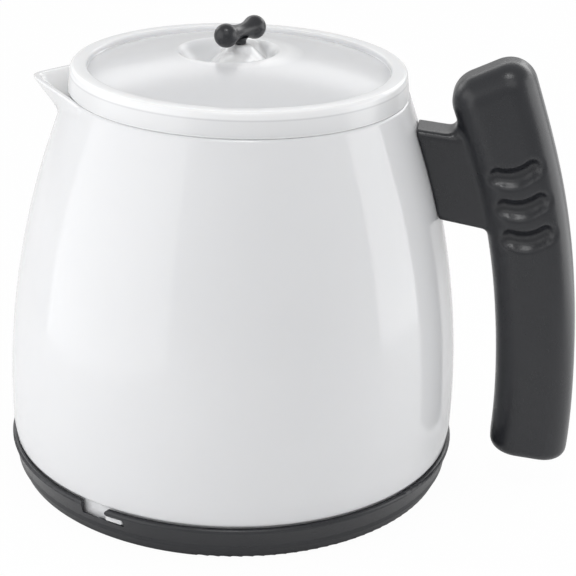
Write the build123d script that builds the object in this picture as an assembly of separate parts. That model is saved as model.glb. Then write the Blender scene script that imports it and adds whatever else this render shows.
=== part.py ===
from build123d import *
import os
from math import atan2, cos, degrees, hypot, pi, radians, sin, tan

# Microwave tea kettle, in millimetres. The axis of the vessel is Z, the table is z = 0,
# the handle stands out along +X and the pouring spout points along -X.
# A white vessel, open at the bottom, locks on to a shallow base with three bayonet lugs.
# A domed lid drops into its mouth and carries a small knob in a finger recess.

# Base: the shallow dish that closes the vessel from below.
foot_width = 5.5
foot_height = 1.6
foot_round = 1.5
floor_thickness = 3.0
ring_radius = 96.0
ring_height = 14.5
ring_wall = 2.6
ring_flare = 4.7
ring_round = 1.2
seal_rib_height = 2.6
seal_rib_width = 1.8

# Seal: a flat silicone ring between the base and the vessel's lower edge.
seal_width = 5.2
seal_height = 2.2
seal_round = 0.6
seal_clearance = 0.3
seal_contact_gap = 0.2

# Bayonet: J-shaped slots in the ring and lugs on the vessel.
lug_count = 2
slot_angle = -113.65
finger_height = 2.3
lug_width = 8.0
lug_height = 2.3
lug_reach = 1.8
lug_round = 0.6
lug_end_clearance = 0.35
lug_clearance = 0.2
notch_play = 3.85
detent_height = 0.45
detent_radius = 4.0
detent_offset = 2.5

# Vessel: outer radii at the heights that shape it.
collar_clearance = 0.4
vessel_wall = 2.8
skirt_round = 1.8
skirt_gap = 0.3
skirt_step = 1.4
belly_swell = 0.3
belly_height = 39.5
belly_lean = 0.03
waist_flare = 12.3
waist_drop = 50.2
shoulder_flare = 8.8
shoulder_drop = 25.0
rim_radius = 69.2
rim_height = 164.8
rim_round = 1.1
wall_samples = 9

# Spout: a V-shaped lip on the rim, opposite the handle.
spout_overhang = 15.4
spout_lean = 9.5
spout_drop = 14.8
spout_tip_round = 4.5
spout_half_angle = 52.5
spout_wall = 2.8
spout_inner_round = 2.0
spout_blend = 9.0
spout_side_length = 42.0

# Handle: an arm with a hanging grip, closed at both ends, in one moulding.
arm_width = 18.0
arm_drop = 9.8
arm_depth = 35.6
arm_top_fall = 4.4
arm_bottom_fall = 7.2
arm_round = 2.5
arm_seat_gap = 0.15
arm_blend = 4.0
grip_width = 29.0
grip_depth_low = 32.5
grip_depth_high = 34.9
grip_corner = 11.5
grip_top_round = 11.0
grip_bottom_round = 5.0
grip_bottom = 13.6
grip_reach = 128.5
grip_bulge = 128.8
grip_bulge_height = 50.0
grip_knee = 125.0
grip_knee_height = 90.0
grip_lean = 116.8
grip_lean_height = 130.0
grip_top_reach = 99.1
grip_top = 180.3
grip_top_tilt = 7.2
grip_bottom_tilt = -4.5
grip_sections = 6

# Kidney-shaped recesses in both sides of the grip.
recess_count = 3
recess_top_height = 139.6
recess_pitch = 13.2
recess_length = 21.0
recess_width = 7.4
recess_depth = 4.2
recess_sag = 1.9
recess_round = 1.0

# Rail: the dovetail on the vessel that carries the handle.
rail_inset = 8.0
rail_length = 26.0
rail_neck_width = 7.0
rail_head_width = 10.0
rail_reach = 7.0
rail_root = 1.2
rail_clearance = 0.15

# Lid: a shallow dome inside a raised rim, with a plug that drops into the mouth.
lid_wall = 2.2
lid_seat_gap = 0.1
lid_band_step = 0.3
lid_band_draft = 1.0
lid_band_height = 9.9
lid_crest_width = 6.7
lid_crest_round = 0.9
lid_shoulder_round = 1.6
lid_disc_sink = 2.4
lid_dome_rise = 8.9
lid_plug_clearance = 0.5
lid_plug_wall = 2.0
lid_plug_depth = 8.0

# Finger recess: a round dish parted by a ridge that carries the knob.
dish_centre = -5.0
dish_radius = 20.5
dish_flare = 5.5
dish_depth = 9.4
dish_round = 5.0
dish_wall_sink = 2.0
dish_lip_bevel = 0.8
ridge_crest_width = 8.0
ridge_flank_angle = 45.0
pedestal_height = 1.5
pedestal_radius = 4.0
pedestal_slope = 45.0

# Knob: a dumbbell on a stem that snaps into the ridge.
knob_angle = 63.6
knob_lift = 5.6
knob_lobe_radius = 4.8
knob_lobe_offset = 10.2
knob_neck_radius = 2.9
stem_radius = 2.5
shank_radius = 2.2
shank_clearance = 0.05
shoulder_gap = 0.2
barb_radius = 2.9
barb_height = 2.6
barb_gap = 0.3
barb_tip_radius = 1.9
slit_width = 0.9

# How finely edges are compared and places on a line are found.
same_size = 0.01
same_share = 1e-9

# Places that follow from the sizes above.
floor_top = foot_height + floor_thickness
foot_radius = ring_radius - ring_flare
ring_inner_radius = ring_radius - ring_wall
collar_radius = ring_inner_radius - collar_clearance
collar_bottom = floor_top + seal_height + seal_contact_gap
skirt_radius = ring_radius - skirt_step
skirt_height = ring_height + skirt_gap
belly_radius = skirt_radius + belly_swell
shoulder_radius = rim_radius + shoulder_flare
shoulder_height = rim_height - shoulder_drop
waist_radius = shoulder_radius + waist_flare
waist_height = shoulder_height - waist_drop
finger_bottom = ring_height - finger_height
lug_top = finger_bottom - lug_clearance
lug_bottom = lug_top - lug_height
lug_radius = collar_radius + lug_reach
slot_floor = lug_bottom - lug_clearance - detent_height
notch_width = lug_width + notch_play
slot_width = notch_width + lug_width + lug_end_clearance
spout_tip = rim_radius + spout_overhang
spout_root_reach = spout_tip - spout_lean
spout_slope = spout_lean / spout_drop
spout_root_height = rim_height - spout_drop
arm_top = rim_height - arm_drop
arm_bottom = arm_top - arm_depth
rail_top = arm_top - rail_inset
rail_bottom = rail_top - rail_length
lid_seat = rim_height + lid_seat_gap
lid_band_radius = rim_radius - lid_band_step
lid_band_top_radius = lid_band_radius - lid_band_draft
lid_crest_height = lid_seat + lid_band_height
lid_crest_inner_radius = lid_band_top_radius - lid_crest_width
lid_disc_edge_height = lid_crest_height - lid_disc_sink
lid_apex_height = lid_disc_edge_height + lid_dome_rise
dome_radius = (lid_crest_inner_radius**2 + lid_dome_rise**2) / (2 * lid_dome_rise)
dome_centre = lid_apex_height - dome_radius
dish_floor_radius = dish_radius - dish_flare
pedestal_top = lid_apex_height + pedestal_height
knob_height = pedestal_top + knob_lift


def at(radius, height):
    """A point of a profile, in the plane that holds the axis and +X."""
    return Vector(radius, 0, height)


def turned(*lines):
    """The solid that a closed profile sweeps round the kettle's axis."""
    return revolve(make_face(Wire(list(lines))), Axis.Z)


def profile(points, rounds=()):
    """A closed outline with straight sides; rounds pairs some corners with their radii."""
    outline = make_face(Polyline(*points, close=True))
    for corner, radius in rounds:
        outline = fillet(outline.vertices().sort_by_distance(corner)[0], radius)
    return outline


def share_at(line, height):
    """The share of a climbing line's length at which it reaches a height."""
    low = 0.0
    high = 1.0
    while high - low > same_share:
        middle = (low + high) / 2
        if (line @ middle).Z < height:
            low = middle
        else:
            high = middle
    return low


def around(count):
    """The turns about the axis that repeat a feature evenly."""
    return [Rot(0, 0, 360 * turn / count) for turn in range(count)]


def slot_plane():
    """The upright plane on the axis that faces out through the first slot."""
    facing = Vector(cos(radians(slot_angle)), sin(radians(slot_angle)), 0)
    along = Vector(-facing.Y, facing.X, 0)
    return Plane(origin=(0, 0, 0), x_dir=along, z_dir=facing)


def slot_cutter():
    """One J-shaped slot: an open notch, a run below the finger and a detent on its floor."""
    left = -slot_width / 2
    tip = left + notch_width
    tip_round = finger_height / 2
    notch = Pos(left, slot_floor) * Rectangle(
        notch_width + tip_round, 2 * ring_height, align=(Align.MIN, Align.MIN)
    )
    run = Pos(left, slot_floor) * Rectangle(
        slot_width, finger_bottom - slot_floor, align=(Align.MIN, Align.MIN)
    )
    finger_tip = Pos(tip + tip_round, ring_height - tip_round) * Circle(tip_round)
    detent = Pos(tip - detent_offset, slot_floor + detent_height - detent_radius) * Circle(
        detent_radius
    )
    outline = slot_plane() * (notch + run - finger_tip - detent)
    reach = ring_radius + ring_wall
    core = Cylinder(ring_inner_radius - ring_wall, 4 * ring_height)
    return extrude(outline, amount=reach) - core


def make_base():
    """The dish: a foot, a floor, a rib that keeps the seal and the ring with its slots."""
    foot_inner = foot_radius - foot_width
    rib_outer = ring_inner_radius - seal_width - 2 * seal_clearance
    rib_inner = rib_outer - seal_rib_width
    rib_top = floor_top + seal_rib_height
    foot_corner = at(foot_radius, 0)
    ring_corner = at(ring_radius, ring_height)
    section = profile(
        [
            at(0, foot_height),
            at(foot_inner, foot_height),
            at(foot_inner, 0),
            foot_corner,
            ring_corner,
            at(ring_inner_radius, ring_height),
            at(ring_inner_radius, floor_top),
            at(rib_outer, floor_top),
            at(rib_outer, rib_top),
            at(rib_inner, rib_top),
            at(rib_inner, floor_top),
            at(0, floor_top),
        ],
        [(foot_corner, foot_round), (ring_corner, ring_round)],
    )
    dish = revolve(section, Axis.Z)
    cutter = slot_cutter()
    for turn in around(lug_count):
        dish -= turn * cutter
    return dish


def make_seal():
    """The silicone ring in the groove between the rib and the ring."""
    outer = ring_inner_radius - seal_clearance
    section = Pos(outer - seal_width / 2, floor_top + seal_height / 2) * RectangleRounded(
        seal_width, seal_height, seal_round
    )
    return revolve(Plane.XZ * section, Axis.Z)


def body_line():
    """The vessel's outer line, from the skirt above the ring up to the rim."""
    return Spline(
        at(skirt_radius, skirt_height + skirt_round),
        at(belly_radius, belly_height),
        at(waist_radius, waist_height),
        at(shoulder_radius, shoulder_height),
        at(rim_radius, rim_height),
        tangents=[at(belly_lean, 1), at(-shoulder_flare, shoulder_drop)],
    )


def inner_line(line, wall):
    """The same line one wall further in, from its normals at even steps."""
    points = []
    for step in range(wall_samples):
        share = step / (wall_samples - 1)
        along = line % share
        points.append(line @ share + at(-along.Z, along.X) * wall)
    return Spline(*points)


def skirt_edges():
    """The collar and the quarter-round skirt above it, up to the body line."""
    collar_foot = at(collar_radius, collar_bottom)
    collar_head = at(collar_radius, skirt_height)
    round_end = at(skirt_radius, skirt_height + skirt_round)
    swing = skirt_round * (1 - cos(pi / 4))
    middle = at(
        collar_radius + (skirt_radius - collar_radius) * sin(pi / 4), skirt_height + swing
    )
    return Line(collar_foot, collar_head), ThreePointArc(collar_head, middle, round_end)


def body_solid():
    """The vessel's outside as one solid, from the collar to the rim."""
    outside = body_line()
    collar, skirt = skirt_edges()
    top = Line(outside @ 1, at(0, rim_height))
    axis = Line(at(0, rim_height), at(0, collar_bottom))
    bottom = Line(at(0, collar_bottom), collar @ 0)
    return turned(collar, skirt, outside, top, axis, bottom)


def body_space():
    """The room inside the vessel, open below and at the mouth."""
    inside = inner_line(body_line(), vessel_wall)
    below = at(collar_radius - vessel_wall, collar_bottom - vessel_wall)
    collar_head = at(collar_radius - vessel_wall, skirt_height)
    above = inside @ 1 + (inside % 1) * (2 * vessel_wall)
    lines = [
        Line(at(0, below.Z), below),
        Line(below, collar_head),
        Line(collar_head, inside @ 0),
        inside,
        Line(inside @ 1, above),
        Line(above, at(0, above.Z)),
        Line(at(0, above.Z), at(0, below.Z)),
    ]
    return turned(*lines)


def spout_prism(inset, tip_round, above):
    """The V of the spout, slanting down and in from the rim, drawn in by a wall."""
    half = radians(spout_half_angle)
    sharp_tip = spout_tip + spout_tip_round * (1 / sin(half) - 1) - inset / sin(half)
    start = rim_height + above
    tip_x = -sharp_tip - above * spout_slope
    side = Vector(cos(half), sin(half), 0) * (spout_side_length - inset)
    tip = Vector(tip_x, 0, start)
    back = Vector(tip_x + spout_side_length + side.X, 0, start)
    corners = [tip, tip + side, back, tip + Vector(side.X, -side.Y, 0)]
    outline = profile(corners, [(tip, tip_round)])
    drop = rim_height - spout_root_height
    downward = Vector(spout_slope, 0, -1)
    return extrude(outline, amount=(2 * drop + above) * downward.length, dir=downward)


def rail_prism(clearance, low):
    """The dovetail rail, which leans with the vessel's wall; clearance widens its pocket."""
    line = body_line()
    upper = (line @ share_at(line, rail_top)).X
    lower = (line @ share_at(line, rail_bottom)).X
    lean = (lower - upper) / rail_length
    top = rail_top + clearance
    root = upper - lean * clearance - rail_root
    head = root + rail_root + rail_reach + clearance
    neck = rail_neck_width / 2 + clearance
    wide = rail_head_width / 2 + clearance
    corners = [(root, -neck, top), (head, -wide, top), (head, wide, top), (root, neck, top)]
    outline = profile(corners)
    downward = Vector(lean, 0, -1)
    return extrude(outline, amount=(top - low) * downward.length, dir=downward)


def make_lug():
    """One lug on the collar, locked below its finger."""
    outline = Pos(collar_radius - vessel_wall / 2, lug_bottom) * Rectangle(
        lug_reach + vessel_wall / 2, lug_height, align=(Align.MIN, Align.MIN)
    )
    spread = degrees(lug_width / lug_radius)
    lug = revolve(Plane.XZ * outline, Axis.Z, revolution_arc=spread)
    corners = lug.edges().filter_by(
        lambda edge: hypot(edge.center().X, edge.center().Y) > collar_radius + lug_reach / 3
    )
    lug = fillet(corners, lug_round)
    slot_end = slot_angle + degrees((slot_width / 2 - lug_end_clearance) / ring_radius)
    return Rot(0, 0, slot_end - spread) * lug


def make_vessel():
    """The white body: wall, rim, spout, collar with lugs and the rail for the handle."""
    solid = body_solid() + spout_prism(0, spout_tip_round, 0)
    joins = solid.edges().filter_by(
        lambda edge: edge.center().X < -spout_root_reach / 2
        and spout_root_height < edge.center().Z < rim_height - rim_round
        and abs(edge.center().Y) > spout_tip_round
    )
    solid = fillet(joins, spout_blend)
    solid += rail_prism(0, rail_bottom)
    solid -= body_space()
    solid -= spout_prism(spout_wall, spout_inner_round, vessel_wall)
    rim = solid.faces().filter_by(Plane.XY).sort_by(Axis.Z)[-1]
    solid = fillet(rim.outer_wire().edges(), rim_round)
    lug = make_lug()
    for turn in around(lug_count):
        solid += turn * lug
    return solid


def grip_spine():
    """The line through the middle of the grip, from its lower end to its top."""
    return Spline(
        at(grip_reach, grip_bottom),
        at(grip_bulge, grip_bulge_height),
        at(grip_knee, grip_knee_height),
        at(grip_lean, grip_lean_height),
        at(grip_top_reach, grip_top),
        tangents=[at(0, 1), at(grip_top_reach - grip_lean, grip_top - grip_lean_height)],
    )


def across(spine, share, tilt=0.0):
    """The plane across the spine, its own X pointing outward and up by a tilt in degrees."""
    along = spine % share
    outward = at(along.Z, -along.X)
    lift = radians(tilt)
    x_dir = outward * cos(lift) + along * sin(lift)
    return Plane(origin=spine @ share, x_dir=x_dir, z_dir=along * cos(lift) - outward * sin(lift))


def make_grip():
    """The grip: a rounded bar that bows outward, lofted along its spine."""
    spine = grip_spine()
    tilts = [grip_bottom_tilt] + [0.0] * (grip_sections - 2) + [grip_top_tilt]
    sections = []
    for number, tilt in enumerate(tilts):
        share = number / (grip_sections - 1)
        depth = grip_depth_low + (grip_depth_high - grip_depth_low) * share**2
        section = RectangleRounded(depth / cos(radians(tilt)), grip_width, grip_corner)
        sections.append(across(spine, share, tilt) * section)
    grip = loft(sections)
    grip = fillet(grip.faces().sort_by(Axis.Z)[-1].edges(), grip_top_round)
    return fillet(grip.faces().sort_by(Axis.Z)[0].edges(), grip_bottom_round)


def make_arm():
    """The arm: a deep flat bar between the vessel's wall and the grip."""
    corners = [
        at(rim_radius, arm_bottom),
        at(grip_lean, arm_bottom - arm_bottom_fall),
        at(grip_lean, arm_top - arm_top_fall),
        at(rim_radius, arm_top),
    ]
    arm = extrude(profile(corners), amount=arm_width / 2, both=True)
    outward = arm.edges().filter_by(lambda edge: (edge % 0.5).X ** 2 > 0.5)
    return fillet(outward, arm_round)


def recess_cutter(spine, height, side):
    """One kidney-shaped recess: a slot along a sagging arc, rounded at its floor."""
    plane = across(spine, share_at(spine, height))
    half = (recess_length - recess_width) / 2
    flank = Plane(
        origin=plane.origin + Vector(0, side * grip_width / 2, 0),
        x_dir=plane.x_dir,
        z_dir=Vector(0, side, 0),
    )
    rise = -side * recess_sag
    slot = flank * SlotArc(ThreePointArc((-half, rise), (0, 0), (half, rise)), recess_width)
    cutter = extrude(slot, amount=-recess_depth) + extrude(slot, amount=recess_depth)
    floor = cutter.faces().sort_by(Axis.Y)[0 if side > 0 else -1]
    return fillet(floor.edges(), recess_round)


def make_handle(vessel_outside):
    """Arm and grip together, cut to the vessel's wall and pocketed for the rail."""
    handle = make_grip() + make_arm()
    joins = handle.edges().filter_by(
        lambda edge: abs(edge.center().Y) < arm_width / 2 + same_size
        and arm_bottom - arm_bottom_fall < edge.center().Z < arm_top
        and edge.geom_type == GeomType.BSPLINE
        and edge.center().X < grip_lean
    )
    handle = fillet(joins, arm_blend)
    handle -= vessel_outside
    handle -= rail_prism(rail_clearance, arm_bottom - arm_bottom_fall)
    spine = grip_spine()
    for number in range(recess_count):
        for side in (-1, 1):
            handle -= recess_cutter(spine, recess_top_height - number * recess_pitch, side)
    return handle


def arm_seat():
    """The vessel's outside, grown by the gap in which the arm's end seats."""
    line = inner_line(body_line(), -arm_seat_gap)
    top = at(0, (line @ 1).Z)
    bottom = at(0, (line @ 0).Z)
    return turned(line, Line(line @ 1, top), Line(top, bottom), Line(bottom, line @ 0))


def dish_solid(growth, top):
    """The round dish of the finger recess, up to a height; growth makes the outside of its wall."""
    slope = (dish_radius - dish_floor_radius) / dish_depth
    bottom = lid_apex_height - dish_depth - growth
    rise = top - bottom
    floor = dish_floor_radius + growth * (hypot(slope, 1) - slope)
    bowl = Cone(floor, floor + slope * rise, rise, align=(Align.CENTER, Align.CENTER, Align.MIN))
    bowl = fillet(bowl.edges().sort_by(Axis.Z)[0], dish_round + growth)
    return Pos(dish_centre, 0, bottom) * bowl


def ridge_solid(inset):
    """The ridge across the dish; inset makes the hollow below it."""
    flank = radians(ridge_flank_angle)
    top = lid_apex_height + lid_wall
    half = ridge_crest_width / 2 - inset * tan(flank / 2)
    crest = lid_apex_height - inset
    foot = crest - 3 * dish_depth
    spread = half + (crest - foot) * tan(flank)
    corners = [
        at(-half, top),
        at(-half, crest),
        at(-spread, foot),
        at(spread, foot),
        at(half, crest),
        at(half, top),
    ]
    return extrude(profile(corners), amount=3 * dish_radius, both=True)


def dome_ball(drop):
    """The sphere of the dome, at a depth below its outer face, with its poles at the sides."""
    return Pos(0, 0, dome_centre) * Rot(90, 0, 0) * Sphere(dome_radius - drop)


def make_dome():
    """The lid's disc: a shallow cap of one wall, as wide as the crest round it."""
    reach = lid_crest_inner_radius + lid_wall
    column = Pos(0, 0, lid_apex_height) * Cylinder(reach, 2 * lid_crest_inner_radius)
    return (column & dome_ball(0)) - dome_ball(lid_wall)


def make_lid():
    """The lid: dome, raised crest, band, plug, finger recess and the pedestal for the knob."""
    plug_radius = rim_radius - vessel_wall - lid_plug_clearance
    plug_inner = plug_radius - lid_plug_wall
    plug_bottom = rim_height - lid_plug_depth
    shoulder = at(lid_band_top_radius, lid_crest_height)
    crest = at(lid_crest_inner_radius, lid_crest_height)
    section = profile(
        [
            at(plug_inner, plug_bottom),
            at(plug_radius, plug_bottom),
            at(plug_radius, lid_seat),
            at(lid_band_radius, lid_seat),
            shoulder,
            crest,
            at(lid_crest_inner_radius, lid_disc_edge_height - lid_wall),
            at(plug_inner, lid_disc_edge_height - lid_wall),
        ],
        [(shoulder, lid_shoulder_round), (crest, lid_crest_round)],
    )
    rim = revolve(section, Axis.Z)
    dish_top = lid_apex_height - dish_wall_sink
    dome = make_dome() + (dish_solid(lid_wall, dish_top) - ridge_solid(lid_wall))
    dome -= dish_solid(0, lid_apex_height + dish_depth) - ridge_solid(0)
    lips = dome.edges().filter_by(
        lambda edge: hypot(edge.center().X, edge.center().Y) < dish_radius - dish_centre
        and edge.center().Z > lid_apex_height - dish_wall_sink
    )
    return rim + chamfer(lips, dish_lip_bevel)


def make_pedestal():
    """The cone on the ridge that carries the knob's stem."""
    depth = lid_wall
    slope = tan(radians(pedestal_slope))
    rise = pedestal_height + depth
    cone = Cone(
        pedestal_radius + rise * slope,
        pedestal_radius,
        rise,
        align=(Align.CENTER, Align.CENTER, Align.MAX),
    )
    return Pos(0, 0, pedestal_top) * cone


def make_knob():
    """The dumbbell, its stem and the split barb below the ridge."""
    offset = knob_lobe_offset
    blend = (offset**2 + knob_neck_radius**2 - knob_lobe_radius**2) / (
        2 * (knob_lobe_radius - knob_neck_radius)
    )
    lean = atan2(offset, knob_neck_radius + blend)
    touch = (offset - knob_lobe_radius * sin(lean), knob_lobe_radius * cos(lean))
    neck = ThreePointArc((-touch[0], touch[1]), (0, knob_neck_radius), touch)
    half = (lean + pi / 2) / 2 - lean
    bulge = (offset + knob_lobe_radius * sin(half), knob_lobe_radius * cos(half))
    end = (offset + knob_lobe_radius, 0)
    right = ThreePointArc(touch, bulge, end)
    left = ThreePointArc((-end[0], 0), (-bulge[0], bulge[1]), (-touch[0], touch[1]))
    spindle = Line((-end[0], 0), end)
    bar = revolve(make_face(Wire([left, neck, right, spindle])), Axis.X)
    bar = Pos(0, 0, knob_height) * bar
    barb_top = lid_apex_height - lid_wall - barb_gap
    barb_bottom = barb_top - barb_height
    section = profile(
        [
            at(0, barb_bottom),
            at(barb_tip_radius, barb_bottom),
            at(barb_radius, barb_top),
            at(shank_radius, barb_top),
            at(shank_radius, pedestal_top + shoulder_gap),
            at(stem_radius, pedestal_top + shoulder_gap),
            at(stem_radius, knob_height),
            at(0, knob_height),
        ]
    )
    stem = revolve(section, Axis.Z)
    slit_top = pedestal_top - shoulder_gap
    slit = Pos(0, 0, barb_bottom) * Box(
        slit_width,
        4 * barb_radius,
        2 * (slit_top - barb_bottom),
    )
    knob = bar + (stem - slit)
    return Rot(0, 0, knob_angle) * knob


def make_parts():
    """Every piece of the kettle under its own name."""
    base = make_base()
    lid = make_lid() + make_pedestal()
    lid -= Pos(0, 0, lid_apex_height) * Cylinder(shank_radius + shank_clearance, 6 * lid_wall)
    return {
        "base": base,
        "base_seal": make_seal(),
        "vessel": make_vessel(),
        "handle": make_handle(arm_seat()),
        "lid": lid,
        "lid_knob": make_knob(),
    }


os.makedirs("parts", exist_ok=True)
for name, solid in make_parts().items():
    export_step(solid, f"parts/{name}.step")
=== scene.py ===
# %% [markdown]
# # A microwave tea kettle, piece by piece
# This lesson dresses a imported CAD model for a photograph. The kettle is a white vessel on a
# dark twist-lock base, with a frosted lid, a small dumbbell knob and a hanging grip.
# The frame comes first: it holds the CAD solids, their bodies and the places of the joints.
# Every piece made below is measured in millimetres, as its drawing is, and turned into metres
# when its mesh is written, so that it lands exactly where the CAD solid stands.

# %% The frame
from math import atan2, cos, degrees, hypot, pi, radians, sin, sqrt, tan

import bpy
from mathutils import Matrix, Vector
from mathutils.bvhtree import BVHTree


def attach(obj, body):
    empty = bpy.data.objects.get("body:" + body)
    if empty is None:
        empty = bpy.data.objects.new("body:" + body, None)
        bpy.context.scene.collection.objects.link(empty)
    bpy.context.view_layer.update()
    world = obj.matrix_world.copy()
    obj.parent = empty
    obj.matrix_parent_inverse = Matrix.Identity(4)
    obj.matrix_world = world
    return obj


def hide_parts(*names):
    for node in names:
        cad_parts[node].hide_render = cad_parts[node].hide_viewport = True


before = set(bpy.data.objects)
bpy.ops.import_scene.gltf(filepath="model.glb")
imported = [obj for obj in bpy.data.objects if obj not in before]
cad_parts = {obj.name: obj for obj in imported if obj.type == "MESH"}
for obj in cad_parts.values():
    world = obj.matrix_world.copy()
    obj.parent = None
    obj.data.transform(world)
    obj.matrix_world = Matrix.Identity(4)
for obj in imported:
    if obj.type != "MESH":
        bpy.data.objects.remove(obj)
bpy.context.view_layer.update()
MM = 0.001

# %% [markdown]
# ## From rings of points to a mesh
# Most moulded pieces are swept shapes: a section travels round an axis or along a line, and
# changes on the way. Such a piece is a stack of rings with the same number of points, joined
# by four-sided faces. Quads that follow the form shade smoothly, which glossy plastic needs,
# while a sculpted or remeshed surface would show ripples in its reflections.


# %% Meshes from rings
def write_mesh(name, points, faces, sharp=38):
    """A smooth-shaded object from points in millimetres; edges above the sharp angle stay crisp."""
    mesh = bpy.data.meshes.new(name)
    mesh.from_pydata([tuple(value * MM for value in point) for point in points], [], faces)
    mesh.validate()
    mesh.shade_smooth()
    mesh.set_sharp_from_angle(angle=radians(sharp))
    piece = bpy.data.objects.new(name, mesh)
    bpy.context.scene.collection.objects.link(piece)
    return piece


def join_rings(rings, loop=False, caps=False):
    """Points and quads through rings of equal length; loop joins the last ring to the first."""
    around = len(rings[0])
    points = [point for ring in rings for point in ring]
    faces = []
    steps = len(rings) if loop else len(rings) - 1
    for step in range(steps):
        low = step * around
        high = (step + 1) % len(rings) * around
        for spot in range(around):
            after = (spot + 1) % around
            faces.append((low + spot, low + after, high + after, high + spot))
    if caps:
        faces.append(tuple(reversed(range(around))))
        faces.append(tuple(range((len(rings) - 1) * around, len(rings) * around)))
    return points, faces


def add_meshes(*meshes):
    """Several lists of points and faces as one."""
    points = []
    faces = []
    for more_points, more_faces in meshes:
        start = len(points)
        points += more_points
        faces += [tuple(start + number for number in face) for face in more_faces]
    return points, faces


def arc(centre, radius, start, end, steps):
    """Points of an arc in the plane of radius and height, with angles in degrees."""
    angles = [radians(start + (end - start) * step / steps) for step in range(steps + 1)]
    return [(centre[0] + radius * cos(angle), centre[1] + radius * sin(angle)) for angle in angles]


def soft_max(first, second, width):
    """The larger of two numbers, blended where they are closer than a width."""
    blend = max(width - abs(first - second), 0) / width
    return max(first, second) + blend * blend * width / 4


def soft_min(first, second, width):
    """The smaller of two numbers, blended in the same way."""
    return -soft_max(-first, -second, width)


# %% [markdown]
# ## Shader maths as plain expressions
# A finish is easier to read as a formula than as a web of nodes. One small class wraps a
# socket and overloads the arithmetic, so 1 - mask or noise * 0.1 adds the Math nodes by
# itself. Colours are mixed with a Mix node, because Math would turn them grey.


# %% Sockets that can be reckoned with
class Socket:
    """An output of a finish, ready for arithmetic."""

    def __init__(self, finish, output):
        self.finish = finish
        self.output = output

    def reckon(self, operation, *values):
        """A Math node with an operation and its values."""
        return self.finish.node("ShaderNodeMath", {"operation": operation}, dict(enumerate(values)))

    def __add__(self, other):
        return self.reckon("ADD", self, other)

    def __rsub__(self, other):
        return self.reckon("SUBTRACT", other, self)

    def __mul__(self, other):
        return self.reckon("MULTIPLY", self, other)

    def __truediv__(self, other):
        return self.reckon("DIVIDE", self, other)

    def __pow__(self, other):
        return self.reckon("POWER", self, other)

    __radd__ = __add__
    __rmul__ = __mul__


class Finish:
    """A material whose nodes are added by name, with settings first and values or links after."""

    def __init__(self, name, tree=None):
        if tree is None:
            self.material = bpy.data.materials.new(name)
            self.material.use_nodes = True
            tree = self.material.node_tree
        self.tree = tree
        self.tree.nodes.clear()

    def node(self, kind, settings=None, inputs=None, output=0):
        """Adds a node and gives back one of its outputs."""
        made = self.tree.nodes.new(kind)
        for setting, value in (settings or {}).items():
            setattr(made, setting, value)
        for socket, value in (inputs or {}).items():
            if isinstance(value, Socket):
                self.tree.links.new(value.output, made.inputs[socket])
            else:
                made.inputs[socket].default_value = value
        return Socket(self, made.outputs[output])

    def place(self):
        """Where a point lies on the object, in metres."""
        return self.node("ShaderNodeTexCoord", output="Object")

    def axis(self, number):
        """One coordinate of a point on the object, in metres."""
        return self.node("ShaderNodeSeparateXYZ", None, {0: self.place()}, output=number)

    def ramp(self, value, low, high):
        """Zero up to a low value, one from a high value on, and a slope between."""
        return self.node("ShaderNodeMapRange", None, {0: value, 1: low, 2: high})

    def noise(self, size, detail=2.0, roughness=0.5):
        """Cloudy noise from 0 to 1, whose blots are about a size in millimetres."""
        inputs = {"Vector": self.place(), "Scale": 1 / (size * MM)}
        inputs.update({"Detail": detail, "Roughness": roughness})
        return self.node("ShaderNodeTexNoise", None, inputs)

    def blend(self, factor, first, second):
        """A colour between two others."""
        settings = {"data_type": "RGBA", "clamp_factor": True}
        return self.node("ShaderNodeMix", settings, {0: factor, 6: first, 7: second}, output=2)

    def relief(self, height, depth):
        """A normal from a height between 0 and 1 and a depth in millimetres."""
        inputs = {"Height": height, "Distance": depth * MM, "Strength": 1.0}
        return self.node("ShaderNodeBump", None, inputs)

    def plastic(self, **inputs):
        """Ends the finish in a Principled shader, whose sockets are named with underscores."""
        named = {name.replace("_", " "): value for name, value in inputs.items()}
        shader = self.node("ShaderNodeBsdfPrincipled", None, named)
        self.node_output(shader)
        return self.material

    def node_output(self, shader, kind="ShaderNodeOutputMaterial"):
        """Links a shader to the output of a material or of the world."""
        made = self.tree.nodes.new(kind)
        self.tree.links.new(shader.output, made.inputs["Surface"])


# %% [markdown]
# ## White vessel plastic
# The vessel is glossy white polypropylene. In the photograph it mirrors large soft lights with
# faint, slightly wavy edges, so the colour is almost even, the roughness is low with slow
# drifts, and a very shallow long-wave relief bends the mirrored edges. The spout's inner faces,
# which look back at the axis, get a painted lighter white: a painted glow standing in for the
# light that the thin spout lets through. A pair of numbers says where such a zone begins and
# where it is full, in millimetres.


# %% White
# Where the painted glow on the spout's inner faces lies.
SPOUT_GLOW_ALONG = (-63.0, -66.0)
SPOUT_GLOW_HIGH = (140.0, 150.0)
FACING_SPOUT_GLOW = (0.0, 0.3)


def white_plastic():
    finish = Finish("white_plastic")
    drift = finish.noise(46.0, 1.0)
    grain = finish.noise(0.7, 2.0)
    colour = finish.blend(drift, (0.770, 0.775, 0.790, 1), (0.795, 0.800, 0.812, 1))
    facing = finish.node("ShaderNodeNewGeometry", output="Normal")
    inward = finish.ramp(finish.node("ShaderNodeSeparateXYZ", None, {0: facing}), *FACING_SPOUT_GLOW)
    out = finish.ramp(finish.axis(0) / MM, *SPOUT_GLOW_ALONG)
    up = finish.ramp(finish.axis(2) / MM, *SPOUT_GLOW_HIGH)
    # Painted glow: the spout's inner faces get a lighter white, standing in for light through the thin
    # wall.
    colour = finish.blend(inward * (out * up), colour, (0.960, 0.962, 0.966, 1))
    height = drift * 0.9 + grain * 0.02
    return finish.plastic(
        Base_Color=colour,
        Roughness=0.07 + drift * 0.05 + grain * 0.02,
        IOR=1.5,
        Subsurface_Weight=0.25,
        Subsurface_Radius=(1.0, 0.95, 0.9),
        Subsurface_Scale=0.005,
        Normal=finish.relief(height, 0.25),
    )


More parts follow.
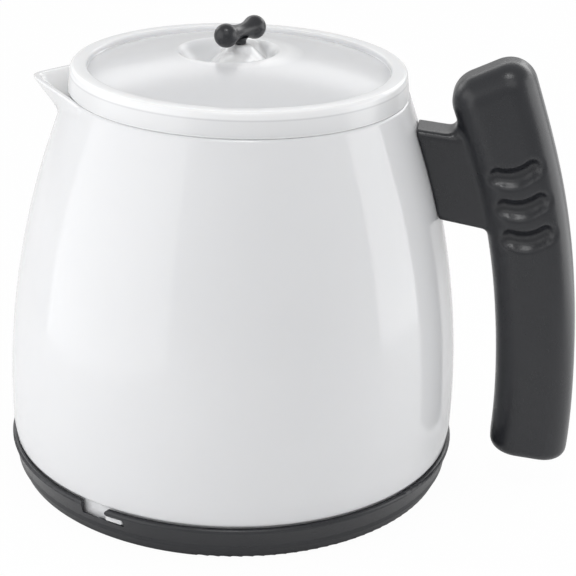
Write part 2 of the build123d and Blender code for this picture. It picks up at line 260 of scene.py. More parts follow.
# %% [markdown]
# ## Charcoal plastic
# Ring, handle and knob are dark grey, spark-eroded in the mould: a fine even grain breaks up
# the highlights, so they are broad and soft. A fine noise gives the grain and a slow one gives
# the clouds, in colour and in roughness.


# %% Charcoal
def charcoal_plastic():
    finish = Finish("charcoal_plastic")
    grain = finish.noise(0.42, 3.0, 0.6)
    cloud = finish.noise(14.0, 2.0)
    colour = finish.blend(grain * 0.6 + cloud * 0.4, (0.010, 0.011, 0.014, 1), (0.019, 0.020, 0.024, 1))
    return finish.plastic(
        Base_Color=colour,
        Roughness=0.22 + grain * 0.10 + cloud * 0.04,
        Specular_IOR_Level=0.55,
        Normal=finish.relief(grain, 0.035),
    )


# %% [markdown]
# ## Frosted lid plastic
# The lid is a natural, slightly milky polypropylene. Its colour carries painted light in zones
# that follow the distance from the axis and the height: the rim gets a painted lighter tone than
# the disc, and its top a lighter one still, standing in for light scattered in the thick plastic;
# a painted dark line on the band stands in for the shade where the plug's wall stands behind it;
# the crest's outer edge and the band's foot get painted highlight lines; and the dish gets a
# painted lighter tone. Scattering below the surface softens the shadows.
# A clear plastic was tried, and showed the vessel's dark inside too strongly.


# %% Frosted
# Zones of painted light and shade on the lid, in millimetres: where each begins and where it is full.
RIM_PAINTED_ZONE = (60.0, 62.0)
DISH_PAINTED_LIGHT_ZONE = (20.0, 26.0)
EDGE_PAINTED_HIGHLIGHT_OUT = (66.3, 66.6)
EDGE_PAINTED_HIGHLIGHT_UP = (174.1, 174.4)
BEAD_PAINTED_LIGHT_ZONE = (171.9, 172.3)
CORNER_PAINTED_SHADE_LOW = (171.2, 171.5)
CORNER_PAINTED_SHADE_HIGH = (171.7, 172.0)
FOOT_PAINTED_HIGHLIGHT_ZONE = (165.3, 165.7)


def frosted_plastic():
    finish = Finish("frosted_plastic")
    drift = finish.noise(34.0, 1.5)
    grain = finish.noise(0.6, 2.0)
    across = finish.axis(0) * finish.axis(0) + finish.axis(1) * finish.axis(1)
    from_axis = across ** 0.5 / MM
    height = finish.axis(2) / MM
    rim = finish.ramp(from_axis, *RIM_PAINTED_ZONE)
    # Painted light: the top of the rim gets a lighter tone than the band below it.
    bead = finish.ramp(height, *BEAD_PAINTED_LIGHT_ZONE)
    # Painted shade: a dark line on the band just below its top.
    corner = finish.ramp(height, *CORNER_PAINTED_SHADE_LOW) * (1 - finish.ramp(height, *CORNER_PAINTED_SHADE_HIGH))
    # Painted highlight: a light line at the foot of the band.
    foot = 1 - finish.ramp(height, *FOOT_PAINTED_HIGHLIGHT_ZONE)
    # Painted highlight: a light line round the crest's outer edge.
    edge = finish.ramp(from_axis, *EDGE_PAINTED_HIGHLIGHT_OUT) * finish.ramp(height, *EDGE_PAINTED_HIGHLIGHT_UP)
    thin = finish.blend(drift, (0.720, 0.725, 0.740, 1), (0.760, 0.765, 0.780, 1))
    # Painted light: the rim is lighter than the disc, and its top lighter still.
    band = finish.blend(bead, (0.790, 0.795, 0.805, 1), (0.860, 0.865, 0.875, 1))
    # Painted light: a lighter tone over the dish.
    dish = 1 - finish.ramp(from_axis, *DISH_PAINTED_LIGHT_ZONE)
    colour = finish.blend(dish, finish.blend(rim, thin, band), (0.940, 0.945, 0.953, 1))
    colour = finish.blend(corner * rim, colour, (0.690, 0.695, 0.710, 1))
    colour = finish.blend((foot + edge) * rim, colour, (0.940, 0.945, 0.950, 1))
    return finish.plastic(
        Base_Color=colour,
        Roughness=0.16 + drift * 0.06 + grain * 0.03,
        IOR=1.5,
        Subsurface_Weight=0.5,
        Subsurface_Radius=(1.0, 0.95, 0.9),
        Subsurface_Scale=0.006,
        Normal=finish.relief(drift * 0.8 + grain * 0.02, 0.25),
    )


# %% [markdown]
# ## Silicone
# The hidden seal in the base is soft and dull, with a dusty bloom.


# %% Silicone
def silicone():
    finish = Finish("silicone")
    bloom = finish.noise(3.0, 3.0)
    colour = finish.blend(bloom, (0.70, 0.70, 0.69, 1), (0.80, 0.80, 0.79, 1))
    return finish.plastic(Base_Color=colour, Roughness=0.55 + bloom * 0.15)


white = white_plastic()
charcoal = charcoal_plastic()
frosted = frosted_plastic()
seal_finish = silicone()
print("finishes:", [material.name for material in (white, charcoal, frosted, seal_finish)])

# %% [markdown]
# ## Dressing a piece
# Each piece that is made below does the same three things: it takes its finish, it rides on the
# body that carries it, and it stands for the CAD nodes whose place it fills.


# %% One call that dresses a piece
def dress(piece, material, body, slot_name, *nodes):
    """Gives a piece its finish and its body, and lets it stand for CAD nodes."""
    piece.data.materials.clear()
    piece.data.materials.append(material)
    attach(piece, body)
    if nodes:
        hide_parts(*nodes)
    return piece


# %% [markdown]
# ## The vessel's line
# The side of the vessel swells to its belly and then leans in to the rim. Five sizes describe
# it, as in the drawing, and a cubic that is smooth through all of them gives every radius.

# %% A cubic through the drawing's sizes
BODY_KNOTS = [(16.6, 94.6), (39.5, 94.9), (89.6, 90.3), (139.8, 78.0), (164.8, 69.2)]
BODY_START_SLOPE = 0.03
BODY_END_SLOPE = (69.2 - 78.0) / (164.8 - 139.8)


def smooth_slopes(knots, start, end):
    """Slopes at the knots that make neighbouring cubics share their curvature."""
    slopes = [start] + [0.0] * (len(knots) - 2) + [end]
    for _ in range(60):
        for spot in range(1, len(knots) - 1):
            before = knots[spot][0] - knots[spot - 1][0]
            after = knots[spot + 1][0] - knots[spot][0]
            rise_before = (knots[spot][1] - knots[spot - 1][1]) / before
            rise_after = (knots[spot + 1][1] - knots[spot][1]) / after
            pull = 3 * (rise_before / before + rise_after / after)
            pull -= slopes[spot - 1] / before + slopes[spot + 1] / after
            slopes[spot] = pull / (2 / before + 2 / after)
    return slopes


def cubic(knots, slopes, place):
    """The value of the smooth cubic at a place."""
    spot = 0
    while spot < len(knots) - 2 and place > knots[spot + 1][0]:
        spot += 1
    span = knots[spot + 1][0] - knots[spot][0]
    share = (place - knots[spot][0]) / span
    start = knots[spot][1]
    end = knots[spot + 1][1]
    rise = (share - 1) ** 2 * share * span * slopes[spot]
    fall = share * share * (share - 1) * span * slopes[spot + 1]
    ease = share * share * (3 - 2 * share)
    return start + (end - start) * ease + rise + fall


BODY_SLOPES = smooth_slopes(BODY_KNOTS, BODY_START_SLOPE, BODY_END_SLOPE)


def body_radius(height):
    """The vessel's outer radius at a height."""
    return cubic(BODY_KNOTS, BODY_SLOPES, height)


print("radius at 64.6 and 114.7 mm:", round(body_radius(64.6), 2), round(body_radius(114.7), 2))

# %% [markdown]
# ## The spout
# The lip is a V in plan that slants down and in until it meets the wall. Seen from the axis,
# each direction has one radius for the round wall and one for the V, and a blended maximum of
# the two gives the flowing joint of the moulding. The same maximum, one wall further in, is
# the channel inside. Directions are packed closer near the tip, where the form is tight. The
# tip's rounding takes a little off the V's point, so the V itself starts that much further out.
# The wall leans, so measured level it is a trace thicker than it is square on.

# %% The wall with its spout
RIM_HEIGHT = 164.8
WALL = 2.8
SPOUT_TIP = 86.8
SPOUT_HALF_ANGLE = radians(52.5)
SPOUT_SLOPE = 11.7 / 14.8
SPOUT_BLEND = 3.0
SPOUT_FALL = 40.0
TIP_SOFTNESS = 0.045
TIP_SOFTNESS_SHARE = 0.35
TIP_ROUNDING = 1.2
LEVEL_WALL_SHARE = 1.03
TURN_CROWDING = 0.62


def spout_radius(turn, height, inset):
    """How far the V reaches at a turn from the spout's own direction."""
    sharp = SPOUT_TIP + TIP_ROUNDING - inset / sin(SPOUT_HALF_ANGLE)
    reach = sharp - (RIM_HEIGHT - height) * SPOUT_SLOPE
    square_on = pi / 2 - SPOUT_HALF_ANGLE
    if abs(turn) > square_on:
        return reach * sin(SPOUT_HALF_ANGLE) - (abs(turn) - square_on) * SPOUT_FALL
    side = sqrt(sin(turn) ** 2 + TIP_SOFTNESS**2) - TIP_SOFTNESS * TIP_SOFTNESS_SHARE
    return reach / (cos(turn) + side / tan(SPOUT_HALF_ANGLE))


def wall_radius(turn, height, inset=0.0):
    """The radius of the wall, spout included, at a turn from the spout's direction."""
    round_wall = body_radius(min(height, RIM_HEIGHT)) - inset * LEVEL_WALL_SHARE
    return soft_max(round_wall, spout_radius(turn, height, inset), SPOUT_BLEND)


def spout_turns(count):
    """Directions round the axis, closer together near the spout, in radians from it."""
    turns = []
    for step in range(count):
        share = step / count * 2 - 1
        bend = TURN_CROWDING * sin(pi * share) / pi
        turns.append((share - bend) * pi)
    return turns


# %% [markdown]
# ## The vessel
# One loop runs up the outside, over the rounded rim and down the inside to the collar that
# drops into the base. Each step of the loop is a ring of directions, so the whole moulding is
# one closed skin of quads.

# %% The vessel's skin
COLLAR_RADIUS = 92.2
COLLAR_BOTTOM = 7.0
SKIRT_HEIGHT = 14.8
SKIRT_ROUND = 1.8
RIM_ROUND = 1.1
RIM_INNER_ROUND = 0.8
COLLAR_CHAMFER = 0.4
WALL_LEVELS = 62
INNER_LEVELS = 30
RIM_STEPS = 6
TURNS = spout_turns(300)


def vessel_ring(radius_at, height):
    """One ring of the wall: a radius for every direction, at a height."""
    ring = []
    for turn in TURNS:
        radius = radius_at(turn)
        ring.append((-radius * cos(turn), -radius * sin(turn), height))
    return ring


def fixed(radius):
    """The same radius all round."""
    return lambda turn: radius


def vessel_rings():
    """All rings of the vessel, from the collar's foot, up, over the rim and down inside."""
    rings = [vessel_ring(fixed(COLLAR_RADIUS - COLLAR_CHAMFER), COLLAR_BOTTOM)]
    rings.append(vessel_ring(fixed(COLLAR_RADIUS), COLLAR_BOTTOM + COLLAR_CHAMFER))
    rings.append(vessel_ring(fixed(COLLAR_RADIUS), SKIRT_HEIGHT - 0.2))
    for radius, height in arc((COLLAR_RADIUS, SKIRT_HEIGHT + SKIRT_ROUND), SKIRT_ROUND, -88, 0, 8):
        rings.append(vessel_ring(fixed(radius), height))
    top = RIM_HEIGHT - RIM_ROUND
    for step in range(1, WALL_LEVELS + 1):
        height = BODY_KNOTS[0][0] + (top - BODY_KNOTS[0][0]) * (step / WALL_LEVELS) ** 0.8
        rings.append(vessel_ring(lambda turn: wall_radius(turn, height), height))
    for step in range(1, RIM_STEPS + 1):
        angle = pi / 2 * step / RIM_STEPS
        height = top + RIM_ROUND * sin(angle)
        inset = RIM_ROUND * (1 - cos(angle))
        rings.append(vessel_ring(lambda turn: wall_radius(turn, height) - inset, height))
    for step in range(RIM_STEPS + 1):
        angle = pi / 2 * step / RIM_STEPS
        height = RIM_HEIGHT - RIM_INNER_ROUND * (1 - cos(angle))
        inset = RIM_INNER_ROUND * (1 - sin(angle))
        rings.append(vessel_ring(lambda turn: wall_radius(turn, height, WALL) + inset, height))
    lowest = SKIRT_HEIGHT + SKIRT_ROUND
    highest = RIM_HEIGHT - RIM_INNER_ROUND
    for step in range(1, INNER_LEVELS + 1):
        height = highest - (highest - lowest) * (step / INNER_LEVELS) ** 1.6
        rings.append(vessel_ring(lambda turn: wall_radius(turn, height, WALL), height))
    inner = COLLAR_RADIUS - WALL
    rings.append(vessel_ring(fixed(inner), SKIRT_HEIGHT - 1))
    rings.append(vessel_ring(fixed(inner), COLLAR_BOTTOM + COLLAR_CHAMFER))
    rings.append(vessel_ring(fixed(inner + COLLAR_CHAMFER), COLLAR_BOTTOM))
    return rings


# %% [markdown]
# ## The bayonet lugs
# Two small tongues stand out from the collar and lock under the fingers of the base. Their
# edges are rounded, so the one behind the front slot catches a small bright line. Near its ends
# a lug shrinks: the pairs below are the distance from an end and the shrinking there.

# %% The lugs
LUG_COUNT = 2
SLOT_ANGLE = -113.65
SLOT_WIDTH = 20.2
LUG_WIDTH = 8.0
LUG_TOP = 12.0
LUG_HEIGHT = 2.3
LUG_REACH = 94.8
LUG_ROUND = 0.6
LUG_END_ROUND = [(0.0, 0.65), (0.15, 0.3), (0.6, 0.0)]
LUG_SIDE_GAP = 0.35
RING_RADIUS = 96.0


def lug_mesh(centre):
    """A rounded tongue about a direction, in degrees, as a grid from one end to the other."""
    half = LUG_WIDTH / 2
    rings = []
    ends = [(-half + inward, shrink) for inward, shrink in LUG_END_ROUND]
    ends += [(half - inward, shrink) for inward, shrink in reversed(LUG_END_ROUND)]
    for offset, shrink in ends:
        angle = radians(centre) + offset / LUG_REACH
        outer = LUG_REACH - shrink
        low = LUG_TOP - LUG_HEIGHT + shrink * 0.8
        high = LUG_TOP - shrink * 0.8
        middle = (low + high) / 2
        section = [(COLLAR_RADIUS - 1, low), (outer - LUG_ROUND, low)]
        section += [(outer - LUG_ROUND * 0.3, low + LUG_ROUND * 0.3), (outer, low + LUG_ROUND)]
        section += [(outer, middle), (outer, high - LUG_ROUND)]
        section += [(outer - LUG_ROUND * 0.3, high - LUG_ROUND * 0.3), (outer - LUG_ROUND, high)]
        section += [(COLLAR_RADIUS - 1, high)]
        rings.append([(radius * cos(angle), radius * sin(angle), height) for radius, height in section])
    return join_rings(rings, caps=True)


slot_end = SLOT_ANGLE + degrees((SLOT_WIDTH / 2 - LUG_SIDE_GAP) / RING_RADIUS)
lug_centre = slot_end - degrees(LUG_WIDTH / 2 / LUG_REACH)
lugs = [lug_mesh(lug_centre + 360 / LUG_COUNT * number) for number in range(LUG_COUNT)]
vessel_mesh = add_meshes(join_rings(vessel_rings(), loop=True), *lugs)
vessel = dress(write_mesh("vessel_skin", *vessel_mesh), white, "vessel", "white_plastic", "vessel")
print("vessel faces:", len(vessel.data.polygons))

# %% [markdown]
# ## The lid's surface
# The lid is a shallow dome inside a raised rim. Its middle has a round dish for two finger
# tips, parted by a ridge that carries the knob. All of this is one height for each place on
# the lid, so blended maxima and minima of simple surfaces give it with its rounded lips.

# %% Heights of the lid
APEX = 181.3
DISC_EDGE = 172.4
DISC_RADIUS = 61.2
DOME_DROP = APEX - DISC_EDGE
DOME_RADIUS = (DISC_RADIUS**2 + DOME_DROP**2) / (2 * DOME_DROP)
DISH_CENTRE = -5.0
DISH_FLOOR_RADIUS = 15.0
DISH_RADIUS = 20.5
DISH_DEPTH = 9.4
RIDGE_HALF = 4.0
PEDESTAL_TOP = 182.8
PEDESTAL_RADIUS = 4.0


def dome_height(across):
    """The dome's height at a distance from the axis."""
    return APEX - DOME_RADIUS + sqrt(DOME_RADIUS**2 - across**2)


def lid_height(x, y):
    """The outer face of the lid's disc: dome, dish, ridge and pedestal."""
    across = hypot(x, y)
    dome = dome_height(across)
    out = hypot(x - DISH_CENTRE, y)
    floor_height = APEX - DISH_DEPTH
    slope = DISH_DEPTH / (DISH_RADIUS - DISH_FLOOR_RADIUS)
    wall = floor_height + (out - DISH_FLOOR_RADIUS) * slope
    bowl = soft_max(floor_height, wall, 7.0)
    ridge = dome - soft_max(abs(x) - RIDGE_HALF, 0.0, 2.6) + 0.25
    height = soft_min(dome, soft_max(bowl, ridge, 2.4), 1.8)
    pedestal = PEDESTAL_TOP - soft_max(across - PEDESTAL_RADIUS, 0.0, 1.4)
    return soft_max(height, pedestal, 1.6)


# %% [markdown]
# The disc is a polar grid whose centre slides from the axis to the middle of the dish, so its
# rings follow both circles. The rim, the band and the plug below are plain turned sections.

# %% The lid's skin
LID_WALL = 2.2
LID_SEAT = 164.9
BAND_RADIUS = 68.9
BAND_TOP_RADIUS = 67.9
CREST_HEIGHT = 174.8
SHOULDER_ROUND = 1.6
CREST_ROUND = 0.9
PLUG_RADIUS = 65.9
PLUG_WALL = 2.0
PLUG_BOTTOM = 156.8
PLUG_CHAMFER = 0.5
BAND_CHAMFER = 0.3
INNER_CORNER = 0.6
LID_STEPS = 240
DISC_RING_STEP = 1.6
DISC_OUTER_RINGS = 21
DISC_INNER_RINGS = 66
SMALLEST_RING = 0.15
CENTRED_RADIUS = 26


def circle(radius, height, shift=0.0, steps=LID_STEPS):
    """A ring round the axis, or round a point shifted along X."""
    angles = [2 * pi * step / steps for step in range(steps)]
    return [(shift + radius * cos(angle), radius * sin(angle), height) for angle in angles]


def disc_rings(drop):
    """Rings of the disc from its edge to the middle of the dish, at a depth below the face."""
    radii = [DISC_RADIUS - step * DISC_RING_STEP for step in range(1, DISC_OUTER_RINGS + 1)]
    last = radii[-1]
    for step in range(1, DISC_INNER_RINGS + 1):
        share = step / DISC_INNER_RINGS
        radii.append(last * (1 - share) + SMALLEST_RING * share)
    rings = []
    for radius in radii:
        share = min((DISC_RADIUS - radius) / (DISC_RADIUS - CENTRED_RADIUS), 1)
        shift = DISH_CENTRE * share * share * (3 - 2 * share)
        ring = circle(radius, 0, shift)
        rings.append([(x, y, lid_height(x, y) - drop) for x, y, _ in ring])
    return rings


def lid_rings():
    """Every ring of the lid, from under the middle, out, round the rim and back on top."""
    inner = PLUG_RADIUS - PLUG_WALL
    rings = list(reversed(disc_rings(LID_WALL)))
    rings.append(circle(inner - INNER_CORNER, DISC_EDGE - LID_WALL - INNER_CORNER))
    rings.append(circle(inner, DISC_EDGE - LID_WALL - 2 * INNER_CORNER))
    rings.append(circle(inner, PLUG_BOTTOM + PLUG_CHAMFER))
    rings.append(circle(inner + PLUG_CHAMFER, PLUG_BOTTOM))
    rings.append(circle(PLUG_RADIUS - PLUG_CHAMFER, PLUG_BOTTOM))
    rings.append(circle(PLUG_RADIUS, PLUG_BOTTOM + PLUG_CHAMFER))
    rings.append(circle(PLUG_RADIUS, LID_SEAT))
    rings.append(circle(BAND_RADIUS - BAND_CHAMFER, LID_SEAT))
    rings.append(circle(BAND_RADIUS, LID_SEAT + BAND_CHAMFER))
    shoulder = (BAND_TOP_RADIUS - SHOULDER_ROUND, CREST_HEIGHT - SHOULDER_ROUND)
    for radius, height in arc(shoulder, SHOULDER_ROUND, 2, 90, 7):
        rings.append(circle(radius, height))
    lip = (DISC_RADIUS + CREST_ROUND, CREST_HEIGHT - CREST_ROUND)
    for radius, height in arc(lip, CREST_ROUND, 90, 180, 5):
        rings.append(circle(radius, height))
    rings.append(circle(DISC_RADIUS, DISC_EDGE + 0.5))
    rings.append(circle(DISC_RADIUS - 0.4, DISC_EDGE + 0.12))
    rings += disc_rings(0.0)
    return rings


lid_mesh = join_rings(lid_rings(), caps=True)
lid = dress(write_mesh("lid_skin", *lid_mesh), frosted, "lid", "frosted_plastic", "lid")
print("lid faces:", len(lid.data.polygons))

# %% [markdown]
# ## The knob
# A dumbbell is a turned form: two balls and a waist, drawn as arcs that touch. It lies on its
# side on a short stem, so its rings run along its own axis and the stem is a second small
# stack of rings below. The stem flares into the waist: each pair is how much wider it is, and
# how far below the dumbbell's axis.

# %% The knob's skin
KNOB_ANGLE = radians(62.5)
KNOB_HEIGHT = 188.0
LOBE_RADIUS = 4.79
LOBE_OFFSET = 9.4
NECK_RADIUS = 2.9
STEM_RADIUS = 2.5
STEM_FOOT = 183.0
STEM_CHAMFER = 0.3
STEM_FLARE = [(0.0, 3.6), (0.2, 3.0), (0.9, 2.2)]
KNOB_STEPS = 40


def knob_section():
    """Distance along the dumbbell and radius, from one end to the other."""
    blend = (LOBE_OFFSET**2 + NECK_RADIUS**2 - LOBE_RADIUS**2) / (2 * (LOBE_RADIUS - NECK_RADIUS))
    lean = degrees(atan2(LOBE_OFFSET, NECK_RADIUS + blend))
    neck = [(x, NECK_RADIUS + blend - y) for x, y in arc((0, 0), blend, 90 + lean, 90 - lean, 14)]
    ball = arc((LOBE_OFFSET, 0), LOBE_RADIUS, 90 + lean, 2, 16)
    far = [(-x, y) for x, y in reversed(ball)]
    return far[:-1] + neck + ball[1:]


def knob_rings():
    """Rings round the dumbbell's own axis."""
    rings = []
    for along, radius in knob_section():
        ring = []
        for step in range(KNOB_STEPS):
            angle = 2 * pi * step / KNOB_STEPS
            across = radius * cos(angle)
            x = along * cos(KNOB_ANGLE) - across * sin(KNOB_ANGLE)
            y = along * sin(KNOB_ANGLE) + across * cos(KNOB_ANGLE)
            ring.append((x, y, KNOB_HEIGHT + radius * sin(angle)))
        rings.append(ring)
    return rings


stem_sizes = [(STEM_RADIUS - STEM_CHAMFER, STEM_FOOT), (STEM_RADIUS, STEM_FOOT + STEM_CHAMFER)]
stem_sizes += [(STEM_RADIUS + wider, KNOB_HEIGHT - below) for wider, below in STEM_FLARE]
stem_rings = [circle(radius, height, steps=KNOB_STEPS) for radius, height in stem_sizes]
knob_mesh = add_meshes(join_rings(knob_rings(), caps=True), join_rings(stem_rings, caps=True))
knob_skin = write_mesh("knob_skin", *knob_mesh)
knob = dress(knob_skin, charcoal, "lid_knob", "charcoal_plastic", "lid_knob")
print("knob faces:", len(knob.data.polygons))

# %% [markdown]
# ## The handle
# The grip's outline is bowed and blended into its arm, and the CAD solid has it right. What the
# photograph adds is softness: the finger recesses are scooped like thumb marks, with lips that
# catch the light. So the skin starts from the solid, gets an even mesh by a voxel remesh, has
# its recesses pressed in again as bowls, and is remeshed and smoothed once more. Each recess
# has its centre, in X and Z, and the lean of the grip there in degrees. Rays that are shot at the
# lands above and below a recess tell where the flank would be without it.

# %% The handle's skin
RECESSES = [(113.86, 139.6, 18.2), (117.79, 126.4, 14.9), (120.91, 113.2, 11.9)]
RECESS_HALF_LENGTH = 6.8
RECESS_SAG = 1.9
SCOOP_RADIUS = 4.4
SCOOP_DEPTH = 3.4
SCOOP_LIP = 1.6
SCOOP_MARGIN = 1.2
LAND = 6.6
MIDDLE_ZONE = 5
RAY_START = 40
VOXEL = 0.55
SMOOTHING_ROUNDS = 9


def even_mesh(piece, voxel, smoothing):
    """Replaces a piece's mesh by an even one, as the remesh and smooth modifiers give it."""
    even = piece.modifiers.new("even", "REMESH")
    even.mode = "VOXEL"
    even.voxel_size = voxel * MM
    soft = piece.modifiers.new("soft", "SMOOTH")
    soft.factor = 0.5
    soft.iterations = smoothing
    settled = piece.evaluated_get(bpy.context.evaluated_depsgraph_get())
    mesh = bpy.data.meshes.new_from_object(settled)
    piece.modifiers.clear()
    piece.data = mesh


def flank_at(tree, x, y, z):
    """How far the solid's flank lies from the middle plane, in millimetres, on the side of y."""
    side = 1 if y > 0 else -1
    hit = tree.ray_cast(Vector((x, side * RAY_START, z)) * MM, Vector((0, -side, 0)))[0]
    return abs(hit.y) / MM if hit else 0.0


def press_recesses(piece, tree):
    """Gives the flanks their bowls, on the surface that the lands between them show."""
    for point in piece.data.vertices:
        x, y, z = point.co / MM
        if abs(y) < MIDDLE_ZONE:
            continue
        for centre_x, centre_z, lean in RECESSES:
            out = (x - centre_x) * cos(radians(lean)) + (z - centre_z) * sin(radians(lean))
            along = (z - centre_z) * cos(radians(lean)) - (x - centre_x) * sin(radians(lean))
            inner = max(min(out, RECESS_HALF_LENGTH), -RECESS_HALF_LENGTH)
            gap = hypot(out - inner, along - RECESS_SAG * (inner / RECESS_HALF_LENGTH) ** 2)
            if gap > SCOOP_RADIUS + SCOOP_MARGIN:
                continue
            flanks = []
            for land in (-LAND, LAND):
                shift = land - along
                flanks.append(flank_at(tree, x - shift * sin(radians(lean)), y,
                                       z + shift * cos(radians(lean))))
            share = (along + LAND) / (2 * LAND)
            flank = flanks[0] * (1 - share) + flanks[1] * share
            bowl = soft_max(SCOOP_DEPTH * (1 - (gap / SCOOP_RADIUS) ** 2), 0.0, SCOOP_LIP)
            point.co.y = (1 if y > 0 else -1) * (flank - bowl) * MM
            break


solid_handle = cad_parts["handle"]
handle = bpy.data.objects.new("handle_skin", solid_handle.data.copy())
bpy.context.scene.collection.objects.link(handle)
handle_tree = BVHTree.FromObject(solid_handle, bpy.context.evaluated_depsgraph_get())
even_mesh(handle, VOXEL, 0)
press_recesses(handle, handle_tree)
even_mesh(handle, VOXEL, SMOOTHING_ROUNDS)
handle.data.shade_smooth()
dress(handle, charcoal, "vessel", "charcoal_plastic", "handle")
print("handle faces:", len(handle.data.polygons))

# %% [markdown]
# ## The camera
# The photograph's camera was found from the kettle's circles: where it stands, how far it
# looks down and its small roll. A camera's matrix has its right, up and backward directions
# as columns, so the three angles are turned into those directions here.

# %% The camera
CAMERA_PLACE = Vector((101.9, -643.5, 352.9)) * MM
CAMERA_HEADING = radians(97.0234)
CAMERA_DIP = radians(22.94)
CAMERA_ROLL = 0.0333
FOCAL_PIXELS = 1661.0
FRAME_PIXELS = 576


def place_camera():
    """Makes the scene's camera at the photograph's viewpoint."""
    forward = Vector((cos(CAMERA_HEADING) * cos(CAMERA_DIP), sin(CAMERA_HEADING) * cos(CAMERA_DIP),
                      -sin(CAMERA_DIP)))
    level = Vector((sin(CAMERA_HEADING), -cos(CAMERA_HEADING), 0))
    rise = level.cross(forward)
    right = cos(CAMERA_ROLL) * level + sin(CAMERA_ROLL) * rise
    up = -sin(CAMERA_ROLL) * level + cos(CAMERA_ROLL) * rise
    data = bpy.data.cameras.new("camera")
    data.sensor_width = 36.0
    data.lens = data.sensor_width * FOCAL_PIXELS / FRAME_PIXELS
    data.clip_start = 0.01
    data.clip_end = 20.0
    camera = bpy.data.objects.new("camera", data)
    bpy.context.scene.collection.objects.link(camera)
    axes = Matrix((right, up, -forward)).transposed()
    camera.matrix_world = Matrix.Translation(CAMERA_PLACE) @ axes.to_4x4()
    bpy.context.scene.camera = camera
    print("focal length in millimetres:", round(data.lens, 1))


place_camera()

# %% [markdown]
# ## Floor and world
# A product shot on white: an even white surround fills the shadows. The floor and the world
# look white to the camera, but light the kettle only at a plain level, so Light Path nodes choose
# between the two, and the floor keeps a trace of the kettle's shadow. In reflections only a
# share of that white shows, because dark satin plastic in a white room would look pale grey.


# %% The white surround
GLOSS_SHARE = 0.12
WORLD_LIGHT = 0.54
FLOOR_WHITENESS = 0.97
FLOOR_HALF_SIZE = 3000.0
PLAIN_WHITE = (1, 1, 1, 1)


def seen_directly(finish):
    """One for rays that show the background: to the eye, in gloss or through something clear."""
    path = finish.tree.nodes.new("ShaderNodeLightPath")
    seen = Socket(finish, path.outputs["Is Camera Ray"])
    seen = seen.reckon("MAXIMUM", seen, Socket(finish, path.outputs["Is Transmission Ray"]))
    return seen.reckon("MAXIMUM", seen, Socket(finish, path.outputs["Is Glossy Ray"]) * GLOSS_SHARE)


def surround():
    """A world that is white wherever it is seen, and lights at a plain level."""
    world = bpy.data.worlds.new("surround")
    world.use_nodes = True
    bpy.context.scene.world = world
    finish = Finish("surround", world.node_tree)
    lighting = finish.node("ShaderNodeBackground", None, {"Color": PLAIN_WHITE, "Strength": WORLD_LIGHT})
    plain = finish.node("ShaderNodeBackground", None, {"Color": PLAIN_WHITE, "Strength": 1.0})
    mixed = finish.node("ShaderNodeMixShader", None, {0: seen_directly(finish), 1: lighting, 2: plain})
    finish.node_output(mixed, "ShaderNodeOutputWorld")


def floor():
    """A wide pale floor; its whiteness is the share that looks plain white where it is seen."""
    finish = Finish("floor")
    matt = finish.node("ShaderNodeBsdfDiffuse", None, {"Color": (0.9, 0.9, 0.9, 1)})
    glow = finish.node("ShaderNodeEmission", None, {"Color": PLAIN_WHITE, "Strength": 1.0})
    share = seen_directly(finish) * FLOOR_WHITENESS
    finish.node_output(finish.node("ShaderNodeMixShader", None, {0: share, 1: matt, 2: glow}))
    half = FLOOR_HALF_SIZE
    corners = [(-half, -half, 0), (half, -half, 0), (half, half, 0), (-half, half, 0)]
    sheet = write_mesh("floor", corners, [(0, 1, 2, 3)])
    sheet.data.materials.append(finish.material)


surround()
floor()
print("world light:", WORLD_LIGHT, "share in gloss:", GLOSS_SHARE)

# %% [markdown]
# ## The lights
# The white body mirrors its lights, so they are placed where the photograph's mirrored edges
# lie. A tall soft box stands close by on the left, down on the floor: its right edge and its
# foot are the faint straight edges on the body. A second one on the right lights the side near
# the arm and the grip's outer corner. One high over the camera catches the rims, three behind
# give the lid its sheen and the body its pale outline, and a small bright one above lights the
# grip's head and the knob.


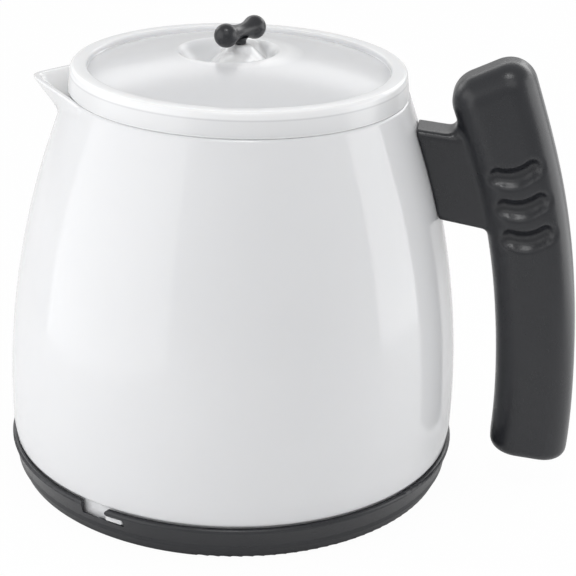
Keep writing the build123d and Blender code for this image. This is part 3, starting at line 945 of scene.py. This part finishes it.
# %% Soft boxes
def soft_box(name, place, target, size, brightness):
    """A rectangular light that faces a point, in metres; brightness is that of its face."""
    data = bpy.data.lights.new(name, "AREA")
    data.shape = "RECTANGLE"
    data.size = size[0]
    data.size_y = size[1]
    data.energy = brightness * pi * size[0] * size[1]
    light = bpy.data.objects.new(name, data)
    light.location = place
    light.rotation_mode = "QUATERNION"
    light.rotation_quaternion = (Vector(target) - Vector(place)).to_track_quat("-Z", "Y")
    light.visible_camera = False
    bpy.context.scene.collection.objects.link(light)
    print(name, "power in watts:", round(data.energy, 2))


soft_box("left_box", (-0.264, -0.253, 0.25), (0.212, -0.099, 0.25), (0.50, 0.50), 1.0)
soft_box("right_box", (0.38, 0.07, 0.18), (0.0, -0.03, 0.12), (0.32, 0.36), 1.6)
soft_box("front_high", (0.2, -1.0, 1.0), (0.0, 0.0, 0.1), (0.9, 0.5), 0.9)
soft_box("back_left", (-0.75, 0.63, 0.55), (0.0, 0.0, 0.15), (0.5, 0.4), 1.7)
soft_box("back_middle", (-0.17, 1.06, 0.72), (0.0, 0.0, 0.15), (0.9, 0.25), 1.6)
soft_box("back_right", (0.50, 0.85, 0.55), (0.0, 0.0, 0.15), (0.5, 0.4), 2.4)
soft_box("top", (0.05, -0.30, 0.95), (0.10, 0.0, 0.15), (0.30, 0.12), 10.0)

# %% [markdown]
# ## The CAD nodes that stay
# Where the CAD solid already has the real shape, it only gets its finish. The base's edges are
# also rounded a little by a bevel modifier, so that they catch the light as moulded edges do.

# %% Finishes on CAD nodes
EDGE_ROUND = 0.25
EDGE_ANGLE = radians(50)
node_finishes = {"base": charcoal, "base_seal": seal_finish}
for node_name, material in node_finishes.items():
    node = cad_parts[node_name]
    node.data.materials.clear()
    node.data.materials.append(material)
    if node_name == "base":
        softened = node.modifiers.new("soft_edges", "BEVEL")
        softened.width = EDGE_ROUND * MM
        softened.segments = 2
        softened.limit_method = "ANGLE"
        softened.angle_limit = EDGE_ANGLE
        softened.harden_normals = True
print("CAD nodes with a finish:", sorted(node_finishes))

# %% [markdown]
# ## The end
# Colours are shown as they are written.

# %% The end
bpy.context.scene.view_settings.view_transform = "Standard"
